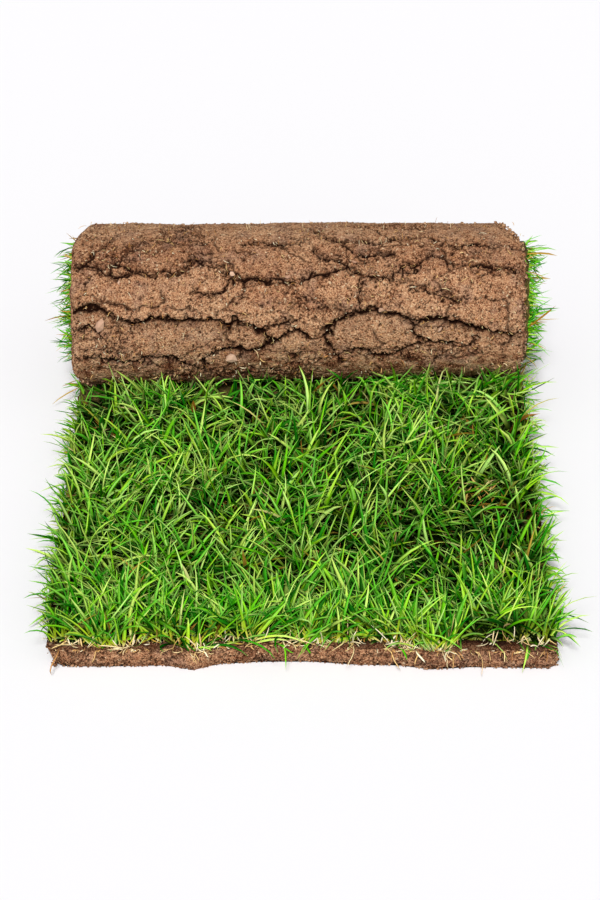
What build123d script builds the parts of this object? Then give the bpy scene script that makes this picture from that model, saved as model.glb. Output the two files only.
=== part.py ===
"""A cut length of turf, rolled up from its far end with a flat tongue left in front of the roll.

The strip lies grass up on the floor, curls up behind the roll and winds forwards, so the roll
shows bare soil on its outside and keeps its grass between the turns. Millimetres, +Z up, +Y from
the front cut edge towards the roll. The origin is on the floor, under the middle of the whole.
"""

from build123d import *
import math
import os

# The strip, as it is cut from the field
strip_width = 400.0
soil_thickness = 18.0
tongue_length = 400.0  # the flat stretch, from the front cut edge to where the strip starts to curl
worn_edge = 7.0  # width and height of the bevel on the lower side edges, where crumbs have fallen off
ragged_depth = 11.0  # how far the front cut wanders back from its foremost point

# The cracks across the roll's face, where the soil has been bent
crack_gape = 5.0
crack_depth = 6.0
crack_wander = 22.0  # how far a crack strays along the strip

# The grass
sward_height = 14.0  # of the dense part, above the soil
sward_splay = 14.0  # how far the standing grass leans out over the cut edges
splay_share = 0.6  # of the standing height, where the grass has leant out all the way
sward_corner = 12.0  # rounding of the standing grass at its two front corners, down at the soil
sward_brow = 4.0  # rounding of the standing grass along its top
pressed_sward = 10.0  # thickness of the grass squeezed between two turns
end_tuft = 8.0  # how far the squeezed grass stands out of the roll's ends
tuft_bevel = 3.0

# The tufts that stand out of the dense part of the grass
tuft_length = 30.0  # with the stretch at its root that is sunk in the dense part
tuft_root = 6.0
tuft_radius = 9.0  # at the root
tuft_tip = 1.0  # radius at the tip
tuft_spacing = 24.0
column_angle = 30.0  # degrees: the columns stand closer than the tufts in them, by its cosine
tuft_lean = 26.0  # degrees from upright
tuft_turn = 137.5  # degrees that each tuft's lean is turned on from the last one's

# The roll
roll_radius = 86.0  # of the first quarter turn, from its centre to the soil's outer face
core_radius = 1.5  # the tightest bend of the grass, at the inner end
quarters_in_turn = 4
quarter_angle = 90.0

# The front cut edge, left to right: shares of the strip's width and of the ragged depth
front_edge_shares = [
    (-0.50, 0.90),
    (-0.48, 0.45),
    (-0.40, 0.36),
    (-0.27, 0.50),
    (-0.21, 0.04),
    (-0.16, 0.68),
    (-0.08, 0.94),
    (0.02, 0.96),
    (0.11, 0.58),
    (0.19, 0.52),
    (0.25, 0.04),
    (0.33, 0.30),
    (0.48, 0.20),
    (0.50, 0.60),
]

# The cracks: the number of the quarter turn and the share of its arc where each lies, its width as a share
# of the gape, and its course from left to right in shares of the strip's width and of the crack's wander
crack_shares = [
    (1, 0.86, 0.60, [(0.02, -0.4), (0.09, 0.3), (0.16, 0.4), (0.24, 0.0), (0.34, 0.2)]),
    (2, 0.38, 0.55, [(-0.50, 0.1), (-0.40, 0.4), (-0.30, 0.1), (-0.24, -0.5), (-0.16, 0.3), (0.09, 0.0)]),
    (2, 0.36, 0.55, [(0.04, -0.6), (0.12, 0.2), (0.22, 0.4), (0.29, -0.5), (0.37, 0.0), (0.50, 0.3)]),
    (2, 0.95, 1.00, [(-0.50, -0.4), (-0.42, -0.4), (-0.36, 0.2), (-0.20, 0.1), (-0.12, 0.0), (-0.07, 0.9)]),
    (2, 0.98, 0.90, [(0.06, 0.8), (0.12, -0.1), (0.18, -0.5), (0.32, 0.0), (0.44, 0.6), (0.50, 0.5)]),
    (3, 0.32, 0.70, [(-0.46, 0.2), (-0.36, 0.4), (-0.28, 0.0), (-0.21, 0.5), (-0.15, -0.3), (-0.06, -0.6)]),
    (3, 0.24, 0.70, [(0.07, 0.6), (0.13, 0.0), (0.20, 0.5), (0.26, -0.2), (0.32, 0.2), (0.40, -0.4)]),
]

pitch = soil_thickness + pressed_sward
tightening = pitch / quarters_in_turn  # how much each quarter turn is tighter than the last
quarter_turns = 1 + math.floor((roll_radius - pitch - core_radius) / tightening)
curl_line = (tongue_length + sward_splay - roll_radius) / 2  # Y of the line where the strip starts to curl
splay_height = splay_share * sward_height
tuft_taper = math.degrees(math.atan2((tuft_radius - tuft_tip) / 2, tuft_length))
tuft_columns = math.floor(strip_width / (tuft_spacing * math.cos(math.radians(column_angle))))
tuft_rows = math.floor(tongue_length / tuft_spacing)

# The four ways out of the roll, in the order that the strip passes them: down, back, up, forwards
ways_out = [-Plane.XY, -Plane.XZ, Plane.XY, Plane.XZ]


def wound_quarters():
    """For each quarter turn: its radius, the plane across the strip at its start and its axis."""
    quarters = []
    centre = Vector(0, curl_line, roll_radius)
    for number in range(quarter_turns):
        radius = roll_radius - number * tightening
        outward = ways_out[number % quarters_in_turn].z_dir
        onward = ways_out[(number + 1) % quarters_in_turn].z_dir
        across = Plane(origin=centre + outward * radius, x_dir=Vector(1, 0, 0), z_dir=-onward)
        quarters.append((radius, across, Axis(centre, Vector(1, 0, 0))))
        centre = centre + onward * tightening
    return quarters


def soil_section():
    """The strip's cut face: its lower, outer face on the plane's X axis, with both lower corners worn."""
    section = Rectangle(strip_width, soil_thickness, align=(Align.CENTER, Align.MIN))
    chamfer(section.vertices().group_by(Axis.Y)[0], worn_edge)


def pressed_sward_section():
    """The grass that the next turn squeezes flat against the soil, a little wider than the strip."""
    with Locations((0, soil_thickness)):
        section = Rectangle(strip_width + 2 * end_tuft, pressed_sward, align=(Align.CENTER, Align.MIN))
    chamfer(section.vertices(), tuft_bevel)


def on_face(quarter, turn_share):
    """The plane on the roll's outer face at a share of a quarter turn: it faces out, X to the left."""
    radius, across, axis = quarter
    outward = -across.y_dir.rotate(Axis.X, turn_share * quarter_angle)
    return Plane(origin=axis.position + outward * radius, x_dir=-Vector(1, 0, 0), z_dir=outward)


def crack_outline(width_share, course_shares):
    """A crack's edges on its plane: they gape along its course and meet at both its ends."""
    course = [(-x_share * strip_width, stray_share * crack_wander) for x_share, stray_share in course_shares]
    half_gape = width_share * crack_gape / 2
    upper = [(x, y + half_gape) for x, y in course[1:-1]]
    lower = [(x, y - half_gape) for x, y in reversed(course[1:-1])]
    Polyline(course[0], *upper, course[-1], *lower, close=True)


def cut_room_for_roll():
    """Takes away what would reach into the roll where its soil comes down on the tongue."""
    with BuildSketch(Plane.YZ) as roll_end:
        with Locations((front_axis.position.Y, front_axis.position.Z)):
            Circle(front_radius)
    extrude(roll_end.sketch, amount=strip_width, both=True, mode=Mode.SUBTRACT)


quarters = wound_quarters()
front_radius, _, front_axis = quarters[quarters_in_turn - 1]  # the quarter that comes down on the tongue

# The soil, with its roots, in one piece from the front cut edge to the inner end of the roll
with BuildPart() as soil_mat:
    for number, (_, across, axis) in enumerate(quarters):
        with BuildSketch(across):
            soil_section()
        if number == 0:
            extrude(amount=tongue_length)
            with BuildSketch(across):
                soil_section()
        revolve(axis=axis, revolution_arc=quarter_angle)

    with BuildSketch(Plane.XY) as front_offcut:
        with BuildLine():
            front_cut = Spline(
                [
                    (x_share * strip_width, curl_line - tongue_length + back_share * ragged_depth)
                    for x_share, back_share in front_edge_shares
                ]
            )
            Polyline(
                front_cut @ 1,
                (front_cut @ 1) + Vector(0, -2 * ragged_depth),
                (front_cut @ 0) + Vector(0, -2 * ragged_depth),
                front_cut @ 0,
            )
        make_face()
    extrude(amount=soil_thickness, mode=Mode.SUBTRACT)

    for number, turn_share, width_share, course_shares in crack_shares:
        with BuildSketch(on_face(quarters[number], turn_share)):
            with BuildLine():
                crack_outline(width_share, course_shares)
            make_face()
        extrude(amount=crack_depth, both=True, mode=Mode.SUBTRACT)

# One tuft, upright on its root: a slim pyramid of three sides, which lie half its radius from its middle
with BuildPart() as tuft:
    with BuildSketch():
        RegularPolygon(tuft_radius, side_count=3)
    extrude(amount=tuft_length, taper=tuft_taper)

# All the tufts, in staggered rows over the tongue, each leaning its own way
with BuildPart() as tufts:
    with Locations((0, curl_line - tongue_length / 2, soil_thickness + sward_height - tuft_root)):
        with HexLocations(tuft_spacing / 2, tuft_columns, tuft_rows) as places:
            leans = [
                place * Rotation(0, 0, number * tuft_turn) * Rotation(tuft_lean, 0, 0)
                for number, place in enumerate(places)
            ]
    with Locations(*leans):
        add(tuft.part)
    cut_room_for_roll()

# The grass: standing on the tongue, squeezed thin where the roll lies on it and between the turns
with BuildPart() as grass_sward:
    with BuildSketch(Plane.XY.offset(soil_thickness)):
        with Locations((0, curl_line - tongue_length)):
            footprint = Rectangle(strip_width, tongue_length + sward_splay, align=(Align.CENTER, Align.MIN))
        fillet(footprint.vertices().group_by(Axis.Y)[0], sward_corner)
    extrude(amount=splay_height, taper=-math.degrees(math.atan2(sward_splay, splay_height)))
    extrude(faces().sort_by(Axis.Z)[-1], amount=sward_height - splay_height)
    split(bisect_by=Plane.XZ.offset(-curl_line))
    fillet(faces().sort_by(Axis.Z)[-1].edges().sort_by(Axis.Y)[:-1], sward_brow)
    cut_room_for_roll()
    for _, across, axis in quarters:
        with BuildSketch(across):
            pressed_sward_section()
        revolve(axis=axis, revolution_arc=quarter_angle)
    add(tufts.part)

soil_mat.part.label = "soil_mat"
grass_sward.part.label = "grass_sward"

os.makedirs("parts", exist_ok=True)
export_step(soil_mat.part, "parts/soil_mat.step")
export_step(grass_sward.part, "parts/grass_sward.step")
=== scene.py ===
import itertools
import math

import bmesh
import bpy
import numpy as np
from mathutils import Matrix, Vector


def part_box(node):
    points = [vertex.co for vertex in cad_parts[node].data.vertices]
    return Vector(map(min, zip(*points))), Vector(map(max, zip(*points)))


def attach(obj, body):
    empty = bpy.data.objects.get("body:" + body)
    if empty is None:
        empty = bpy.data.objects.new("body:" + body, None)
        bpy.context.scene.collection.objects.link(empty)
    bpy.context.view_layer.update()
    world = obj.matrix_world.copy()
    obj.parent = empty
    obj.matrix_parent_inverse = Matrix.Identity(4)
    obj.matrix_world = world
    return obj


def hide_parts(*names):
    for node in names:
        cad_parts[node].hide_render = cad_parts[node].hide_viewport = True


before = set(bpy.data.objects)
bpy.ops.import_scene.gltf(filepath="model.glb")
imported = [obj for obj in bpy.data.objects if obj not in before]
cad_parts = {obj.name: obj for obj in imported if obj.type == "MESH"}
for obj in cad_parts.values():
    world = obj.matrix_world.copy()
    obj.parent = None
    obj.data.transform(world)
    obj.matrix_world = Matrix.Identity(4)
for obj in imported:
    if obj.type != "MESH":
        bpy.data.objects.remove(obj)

bl_info = {
    "name": "Rolled turf",
    "version": (1, 0, 0),
    "blender": (4, 5, 0),
    "location": "3D View > Sidebar > Turf",
    "description": "Dresses a rolled length of turf: crumbly soil outside, long grass on the tongue",
    "category": "Add Mesh",
}

MM = 0.001
FULL_TURN = 2 * math.pi
QUARTER = math.pi / 2

# The strip and its roll, wound as the solids are
SOIL_LOW, SOIL_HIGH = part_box("soil_mat")
STRIP_WIDTH = SOIL_HIGH.x - SOIL_LOW.x
HALF_WIDTH = STRIP_WIDTH / 2
SOIL_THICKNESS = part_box("grass_sward")[0].z
ROLL_RADIUS = 86 * MM
PITCH = 28 * MM
PRESSED_SWARD = PITCH - SOIL_THICKNESS
TIGHTENING = PITCH / 4
QUARTER_TURNS = 9
QUARTERS_IN_TURN = 4
CURL_LINE = SOIL_HIGH.y - ROLL_RADIUS
TONGUE_LENGTH = 400 * MM
FRONT = CURL_LINE - TONGUE_LENGTH
RAGGED_DEPTH = 11 * MM
FRONT_EDGE_SHARES = [(-0.50, 0.90), (-0.48, 0.45), (-0.40, 0.36), (-0.27, 0.50), (-0.21, 0.04), (-0.16, 0.68),
                     (-0.08, 0.94), (0.02, 0.96), (0.11, 0.58), (0.19, 0.52), (0.25, 0.04), (0.33, 0.30),
                     (0.48, 0.20), (0.50, 0.60)]
SKIN = 0.02 * MM  # within this of a face, a vertex belongs to it
NODE_OF_SLOT = {"soil": "soil_mat", "grass": "grass_sward"}

# The camera, fitted to the photograph's outline of the roll and the tongue
FRAME_WIDTH_PX = 600
FRAME_HEIGHT_PX = 900
SENSOR = 36.0
LENS = 97.8
FOCAL_PX = LENS / SENSOR * FRAME_HEIGHT_PX
CAMERA_ELEVATION = math.radians(33.8)
CAMERA_DISTANCE = 2160 * MM
AIM = Vector((-1.3 * MM, 74.3 * MM, 0))
LOOK = Vector((0, math.cos(CAMERA_ELEVATION), -math.sin(CAMERA_ELEVATION)))
CAMERA_PLACE = AIM - LOOK * CAMERA_DISTANCE

# The roll's cracks, as (half width, depth, pixels along the crack in the 600 x 900 photograph)
CRACKS_PX = [
    (1.0, 3.2, [(73, 267), (95, 266), (104, 271), (112, 276), (122, 278), (139, 270), (150, 274), (162, 273),
                (184, 271), (192, 260), (204, 261), (209, 265), (236, 274), (232, 278), (242, 281), (259, 276),
                (271, 282), (278, 277), (299, 281), (318, 275), (351, 267)]),
    (0.9, 2.6, [(112, 276), (111, 268), (120, 264), (128, 266), (131, 272)]),
    (1.0, 3.2, [(318, 250), (324, 257), (343, 262), (353, 268), (362, 271), (368, 276), (380, 276), (395, 278),
                (402, 273), (416, 273), (418, 265), (431, 257), (437, 252), (446, 255), (452, 263), (471, 264),
                (492, 264), (499, 269), (508, 266), (523, 271)]),
    (0.9, 2.6, [(402, 273), (404, 265), (412, 262), (418, 265)]),
    (1.0, 3.2, [(230, 282), (227, 290), (217, 294), (207, 294), (198, 292)]),
    (0.8, 2.4, [(184, 262), (195, 258), (210, 260), (222, 264), (236, 274)]),
    (2.2, 6.0, [(71, 310), (83, 311), (96, 306), (104, 311), (114, 319), (121, 322), (135, 324), (150, 320),
                (165, 320), (183, 321), (192, 319), (211, 320), (221, 322), (230, 330), (240, 320), (253, 326),
                (267, 332), (272, 340)]),
    (1.4, 4.5, [(272, 340), (286, 336), (297, 330), (307, 336), (316, 340), (326, 338)]),
    (0.9, 3.0, [(267, 332), (273, 326), (287, 324), (300, 321)]),
    (2.1, 5.5, [(326, 338), (334, 324), (341, 319), (353, 315), (366, 309), (385, 311), (402, 315), (420, 322),
                (443, 320), (460, 322), (473, 328), (490, 330), (506, 336), (529, 334)]),
    (1.2, 3.5, [(75, 332), (95, 328), (102, 336)]),
    (1.6, 4.5, [(84, 356), (100, 355), (116, 361), (135, 361), (154, 356), (177, 359), (204, 370), (207, 357),
                (219, 351), (236, 349), (250, 353), (265, 349), (274, 342)]),
    (1.6, 4.5, [(326, 338), (332, 347), (339, 357), (345, 366)]),
    (1.8, 5.0, [(339, 357), (353, 351), (364, 351), (380, 357), (395, 359), (406, 351), (423, 347), (433, 345)]),
    (1.5, 4.5, [(418, 332), (425, 342), (433, 345), (450, 347), (471, 351), (479, 343)]),
    (0.8, 2.6, [(112, 238), (106, 246), (93, 255), (91, 263)]),
    (1.2, 3.0, [(250, 244), (262, 241), (280, 243), (295, 244), (307, 236)]),
    (1.2, 3.2, [(314, 227), (326, 234), (339, 238), (366, 241), (380, 242), (395, 238), (420, 236)]),
    (0.9, 2.6, [(345, 244), (356, 253), (366, 255), (383, 252), (398, 252)]),
    (0.7, 2.2, [(418, 286), (429, 290), (446, 294), (458, 300), (466, 299)]),
    (0.7, 2.2, [(366, 281), (365, 290), (362, 298), (363, 307)]),
    (0.7, 2.2, [(296, 292), (299, 298), (305, 301)]),
    (0.8, 2.4, [(430, 236), (450, 240), (462, 246), (480, 243), (505, 246)]),
    (0.7, 2.0, [(135, 243), (150, 240), (172, 239), (190, 243), (205, 240)]),
]

# Cracks in the roll's back, as (half width, depth, distance along the strip, left end, right end) in mm
REAR_CRACKS = [(1.2, 4.0, 28, -200, -20), (1.5, 4.5, 40, -60, 200), (2.2, 6.0, 84, -200, 90),
               (1.3, 4.0, 98, 60, 200), (1.4, 4.0, 122, -150, 130), (2.4, 6.5, 158, -110, 200),
               (1.2, 3.5, 170, -200, -70), (1.0, 3.0, 196, -180, 40)]

# The soil's face: its swells as (height in mm, width in mm, seed), its light and dark patches as (share, width in mm,
# seed), how its light changes along the strip as (change, start and end in mm), and how much longer than deep its
# plates and its crumbled areas are
FACE_SWELLS = ((1.2, 52, 11), (0.6, 19, 12), (0.3, 7, 13), (0.28, 1.7, 15))
LIGHT_PATCHES = ((0.07, 40, 19), (0.07, 9, 20), (0.07, 3.4, 25))
# the last change darkens the roll's lower front: partly painted shade, partly damper soil
LIGHT_ALONG = ((-0.16, 255, 285), (0.17, 325, 350), (-0.15, 378, 398))
PLATE_STRETCH = np.array([1.9, 1.0])
BROKEN_STRETCH = np.array([2.2, 1.0])
SIDE_BROKEN = 0.7
ROLL_SHIFT = 1.6 * MM
FRONT_CORNER_LEAN = 6 * MM

# Stones in the roll's face, as (pixel across, pixel down, width, height) in the photograph
STONES_PX = [(100, 325, 12, 17), (231, 357, 14, 12), (119, 283, 6, 5), (232, 274, 7, 5), (287, 277, 7, 4),
             (354, 262, 7, 5), (381, 310, 8, 6), (440, 330, 8, 5)]

# Dried-out and dark patches in the sward, as (pixel across, pixel down, radius) in the photograph
DRY_PATCHES_PX = [(486, 498, 22), (231, 505, 11), (176, 428, 10), (110, 440, 9), (84, 520, 8), (486, 474, 9),
                  (330, 600, 7)]
DARK_PATCHES_PX = [(300, 480, 22), (395, 405, 18), (215, 575, 16), (430, 575, 16)]
DEAD_LEAF_PX = (193, 406)

# Along the front cut: clumps of pale stem bases as (pixel across, spread), and blades that hang over the soil as
# (pixel across, drop in mm)
FRONT_CUT_ROW_PX = 650
STEM_CLUMPS_PX = [(222, 7), (262, 12), (292, 8), (394, 16), (410, 8), (446, 10), (495, 20), (530, 16), (200, 8),
                  (350, 8), (130, 10), (75, 10)]
HANGING_BLADES_PX = [(276, 21), (282, 25), (303, 17), (398, 13), (452, 12), (530, 10)]

BLADE_CLEARANCE = 0.8 * MM
ROD_MEASURES = ("heading", "rise", "arch", "sway", "length", "half_width", "thickness", "fold", "twist")


def wind():
    """For each quarter turn: its outer radius, its centre, its two directions and where it starts along the strip."""
    ways_out = [Vector((0, -1)), Vector((1, 0)), Vector((0, 1)), Vector((-1, 0))]
    centre = Vector((CURL_LINE, ROLL_RADIUS))
    start = 0.0
    wound = []
    for number in range(QUARTER_TURNS):
        radius = ROLL_RADIUS - number * TIGHTENING
        outward = ways_out[number % QUARTERS_IN_TURN]
        onward = ways_out[(number + 1) % QUARTERS_IN_TURN]
        wound.append((radius, centre.copy(), outward, onward, start))
        start += radius * QUARTER
        centre = centre + onward * TIGHTENING
    return wound


WOUND = wind()
STRIP_END = WOUND[-1][4] + WOUND[-1][0] * QUARTER
OUTER_TURN_END = WOUND[QUARTERS_IN_TURN][4]
FRONT_QUARTER = WOUND[QUARTERS_IN_TURN - 1]


def on_strip(s, w):
    """Y and Z of points s along the strip from the curl line and w above its outer face."""
    y = CURL_LINE + s
    z = w + 0 * s
    for radius, centre, outward, onward, start in WOUND:
        past = s > start
        angle = (s - start) / radius
        out_y = outward.x * np.cos(angle) + onward.x * np.sin(angle)
        out_z = outward.y * np.cos(angle) + onward.y * np.sin(angle)
        y = np.where(past, centre.x + (radius - w) * out_y, y)
        z = np.where(past, centre.y + (radius - w) * out_z, z)
    return y, z


def front_edge(x):
    """Y of the front cut edge."""
    shares, backs = zip(*FRONT_EDGE_SHARES)
    return FRONT + RAGGED_DEPTH * np.interp(x / STRIP_WIDTH, shares, backs)


def ray_through(px, py):
    """The camera's ray through a pixel of the photograph."""
    across = (px - FRAME_WIDTH_PX / 2) / FOCAL_PX
    down = (py - FRAME_HEIGHT_PX / 2) / FOCAL_PX
    below = Vector((0, -math.sin(CAMERA_ELEVATION), -math.cos(CAMERA_ELEVATION)))
    return (LOOK + Vector((1, 0, 0)) * across + below * down).normalized()


def spot_at_height(px, py, height):
    """The point at a height above the floor that the photograph shows at a pixel."""
    ray = ray_through(px, py)
    return CAMERA_PLACE + ray * ((height - CAMERA_PLACE.z) / ray.z)


def spot_on_roll(px, py):
    """(x, s) of the point on the roll's outer face that the photograph shows at a pixel."""
    ray = ray_through(px, py)
    for radius, centre, outward, onward, start in reversed(WOUND[1:QUARTERS_IN_TURN]):
        away = Vector((CAMERA_PLACE.y - centre.x, CAMERA_PLACE.z - centre.y))
        pace = Vector((ray.y, ray.z))
        a, b, c = pace.dot(pace), away.dot(pace), away.dot(away) - radius**2
        if b * b < a * c:
            continue
        far = (-b - math.sqrt(b * b - a * c)) / a
        hit = away + pace * far
        angle = math.atan2(hit.dot(onward), hit.dot(outward))
        if 0 <= angle <= QUARTER:
            return CAMERA_PLACE.x + ray.x * far, start + radius * angle
    top_radius, _, _, _, top_start = WOUND[1]
    return CAMERA_PLACE.x + ray.x * CAMERA_DISTANCE, top_start + top_radius * QUARTER * 0.7


# Random numbers and noise

def steady(cell, seed):
    """A fixed number from 0 to 1 for each whole-numbered cell."""
    mixed = np.full(cell.shape[:-1], seed * 7919 + 17, np.int64)
    for axis, prime in zip(range(cell.shape[-1]), (73856093, 19349663, 83492791)):
        mixed = (mixed ^ (cell[..., axis].astype(np.int64) * prime)) & 0x7FFFFFFF
        mixed = (mixed * 48271 + 11) & 0x7FFFFFFF
    mixed ^= mixed >> 13
    mixed = (mixed * 69621) & 0x7FFFFFFF
    mixed ^= mixed >> 11
    return (mixed & 0xFFFFF) / 0xFFFFF


def lumps(points, size, seed):
    """Smooth noise from -1 to 1 with lumps of a size, at rows of points or a tuple of their columns."""
    if isinstance(points, tuple):
        points = np.stack(points, axis=1)
    scaled = points / size
    cell = np.floor(scaled)
    part = scaled - cell
    part = part * part * (3 - 2 * part)
    total = 0
    for corner in itertools.product((0, 1), repeat=points.shape[1]):
        weight = np.prod(np.where(corner, part, 1 - part), axis=1)
        total = total + weight * steady(cell + corner, seed)
    return 2 * total - 1


def layered(points, layers):
    """The sum of lumps of several sizes, given as (height, width in mm, seed)."""
    return sum(height * lumps(points, width * MM, seed) for height, width, seed in layers)


def strays(points, size, *seeds):
    """Columns of noise, one for each seed, to move points by."""
    return np.stack([lumps(points, size, seed) for seed in seeds], axis=1)


def pebbled(points, size, seed):
    """Irregular cells of a size: each point's nearest and second cell middles, distance to the first middle,
    distance to the border between them, and the cell's own number."""
    home = np.floor(points / size)
    nearest = np.full(len(points), 9.0 * size)
    second = nearest.copy()
    middle = np.zeros_like(points)
    beyond = np.zeros_like(points)
    mark = np.zeros(len(points))
    for step in itertools.product((-1, 0, 1), repeat=points.shape[1]):
        cell = home + step
        spot = np.stack([steady(cell, seed + 31 * k + 1) for k in range(points.shape[1])], axis=1)
        spot = size * (cell + 0.1 + 0.8 * spot)
        far = np.linalg.norm(points - spot, axis=1)
        closer = far < nearest
        next_best = ~closer & (far < second)
        beyond = np.where(closer[:, None], middle, np.where(next_best[:, None], spot, beyond))
        second = np.where(closer, nearest, np.where(next_best, far, second))
        middle = np.where(closer[:, None], spot, middle)
        nearest = np.where(closer, far, nearest)
        mark = np.where(closer, steady(cell, seed), mark)
    border = (second**2 - nearest**2) / (2 * np.maximum(np.linalg.norm(beyond - middle, axis=1), 1e-6))
    return middle, beyond, nearest, border, mark


def eased(value, low, high):
    """0 below low, 1 above high, and a smooth rise between."""
    share = np.clip((value - low) / (high - low), 0, 1)
    return share * share * (3 - 2 * share)


def near_line(points, line):
    """Distance from points to a line of corners, and on which side of it they lie: +1 is further along the strip."""
    best = np.full(len(points), 1.0)
    side = np.zeros(len(points))
    for start, end in zip(line[:-1], line[1:]):
        run = end - start
        gap = points - start
        share = np.clip((gap @ run) / max(run @ run, 1e-12), 0, 1)
        far = np.linalg.norm(gap - share[:, None] * run, axis=1)
        closer = far < best
        side = np.where(closer, np.sign(run[0] * gap[:, 1] - run[1] * gap[:, 0]), side)
        best = np.where(closer, far, best)
    return best, side


# Meshes

def to_object(bm, name):
    """A new piece from a finished bmesh."""
    mesh = bpy.data.meshes.new(name)
    bm.to_mesh(mesh)
    bm.free()
    piece = bpy.data.objects.new(name, mesh)
    bpy.context.scene.collection.objects.link(piece)
    return piece


def finish_piece(piece, paint, slot):
    """Gives a piece its material and its body, and hides the part that its slot names."""
    piece.data.materials.append(material(paint))
    piece.data.shade_smooth()
    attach(piece, "root")
    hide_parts(NODE_OF_SLOT[slot])
    return piece


def along_axis(bm, axis, least):
    """The edges that run along an axis and are longer than a least length."""
    return [e for e in bm.edges if abs(e.verts[0].co[axis] - e.verts[1].co[axis]) > least]


def swept_band(low, high, cuts, rows):
    """A closed band from low to high in (x, s, w): a ring of section edges drawn out along s and cut into rows."""
    bm = bmesh.new()
    corners = [(low[0], low[2]), (high[0], low[2]), (high[0], high[2]), (low[0], high[2])]
    ring = [bm.verts.new((x, low[1], w)) for x, w in corners]
    sides = [bm.edges.new((ring[number], ring[(number + 1) % len(ring)])) for number in range(len(ring))]
    for side, cut in zip(sides, cuts):
        bmesh.ops.subdivide_edges(bm, edges=[side], cuts=cut)
    drawn = bmesh.ops.extrude_edge_only(bm, edges=bm.edges[:])
    ends = [v for v in drawn["geom"] if isinstance(v, bmesh.types.BMVert)]
    bmesh.ops.translate(bm, verts=ends, vec=(0, high[1] - low[1], 0))
    rails = along_axis(bm, 1, (high[1] - low[1]) / 2)
    bmesh.ops.holes_fill(bm, edges=[e for e in bm.edges if e.is_boundary], sides=0)
    bmesh.ops.subdivide_edges(bm, edges=rails, cuts=rows - 1, use_grid_fill=True)
    bmesh.ops.recalc_face_normals(bm, faces=bm.faces[:])
    return bm


def read_points(mesh):
    """A mesh's vertices as an array."""
    points = np.zeros(len(mesh.vertices) * 3, np.float32)
    mesh.vertices.foreach_get("co", points)
    return points.reshape(-1, 3).astype(float)


def write_points(mesh, points):
    """Puts an array back as a mesh's vertices."""
    mesh.vertices.foreach_set("co", points.astype(np.float32).ravel())
    mesh.update()


def give(mesh, **marks):
    """Stores numbers for each vertex, for the material to read."""
    for name, values in marks.items():
        attribute = mesh.attributes.new(name, "FLOAT", "POINT")
        attribute.data.foreach_set("value", np.asarray(values, np.float32).ravel())


def closed_rod(sides, rings):
    """One thin closed rod along +Z, from 0 to 1, of unit radius and pointed at its top, as a template."""
    bm = bmesh.new()
    bmesh.ops.create_circle(bm, cap_ends=True, segments=sides, radius=1)
    drawn = bmesh.ops.extrude_face_region(bm, geom=bm.faces[:], use_keep_orig=True)
    ends = [v for v in drawn["geom"] if isinstance(v, bmesh.types.BMVert)]
    bmesh.ops.translate(bm, verts=ends, vec=(0, 0, 1))
    bmesh.ops.subdivide_edges(bm, edges=along_axis(bm, 2, 0.5), cuts=rings - 1, use_grid_fill=True)
    tip = [v for v in bm.verts if v.co.z > 1 - 0.1 / rings]
    bmesh.ops.pointmerge(bm, verts=tip, merge_co=(0, 0, 1))
    bmesh.ops.recalc_face_normals(bm, faces=bm.faces[:])
    bm.verts.index_update()
    return template_of(bm)


def template_of(bm):
    """A bmesh as arrays to copy: points, faces, and a table of which pairs of vertices share a long edge."""
    points = np.array([v.co for v in bm.verts])
    faces = [[v.index for v in f.verts] for f in bm.faces]
    long_edge = np.zeros((len(points), len(points)), bool)
    for e in bm.edges:
        a, b = e.verts
        long_edge[a.index, b.index] = long_edge[b.index, a.index] = abs(a.co.z - b.co.z) > 1e-6
    bm.free()
    return points, faces, long_edge


def joined(name, template, placed, creased=False, **marks):
    """One mesh of many copies of a template. placed has each copy's points, and a mark its numbers for the copies,
    for the template's points or for both."""
    points, faces, long_edge = template
    copies, size = placed.shape[0], len(points)
    corners = np.concatenate([np.array(f) for f in faces])
    starts = np.concatenate([[0], np.cumsum([len(f) for f in faces])[:-1]])
    offsets = np.arange(copies)[:, None]
    mesh = bpy.data.meshes.new(name)
    mesh.vertices.add(copies * size)
    mesh.vertices.foreach_set("co", placed.astype(np.float32).ravel())
    mesh.loops.add(copies * len(corners))
    mesh.loops.foreach_set("vertex_index", (corners + offsets * size).astype(np.int32).ravel())
    mesh.polygons.add(copies * len(faces))
    mesh.polygons.foreach_set("loop_start", (starts + offsets * len(corners)).astype(np.int32).ravel())
    mesh.update(calc_edges=True)
    for mark, values in marks.items():
        values = np.asarray(values)
        values = values[:, None] if values.ndim == 1 else values
        give(mesh, **{mark: np.broadcast_to(values, (copies, size))})
    if creased:
        ends = np.zeros(len(mesh.edges) * 2, np.int32)
        mesh.edges.foreach_get("vertices", ends)
        ends = ends.reshape(-1, 2) % size
        attribute = mesh.attributes.new("sharp_edge", "BOOLEAN", "EDGE")
        attribute.data.foreach_set("value", long_edge[ends[:, 0], ends[:, 1]])
    piece = bpy.data.objects.new(name, mesh)
    bpy.context.scene.collection.objects.link(piece)
    return piece


# Soil relief

def crack_lines():
    """The cracks as (half width, depth, corners in (x, s)) on the roll's outer face."""
    lines = [(half * MM, depth * MM, np.array([spot_on_roll(*p) for p in line])) for half, depth, line in CRACKS_PX]
    for number, (half, depth, s, left, right) in enumerate(REAR_CRACKS):
        x = np.arange(left, right + 1, 13) * MM
        stray = MM * layered((x, 0 * x + s * MM), ((12, 55, 30 + number), (5, 17, 130 + number)))
        lines.append((half * MM, depth * MM, np.stack([x, s * MM + stray], axis=1)))
    return lines


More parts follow.
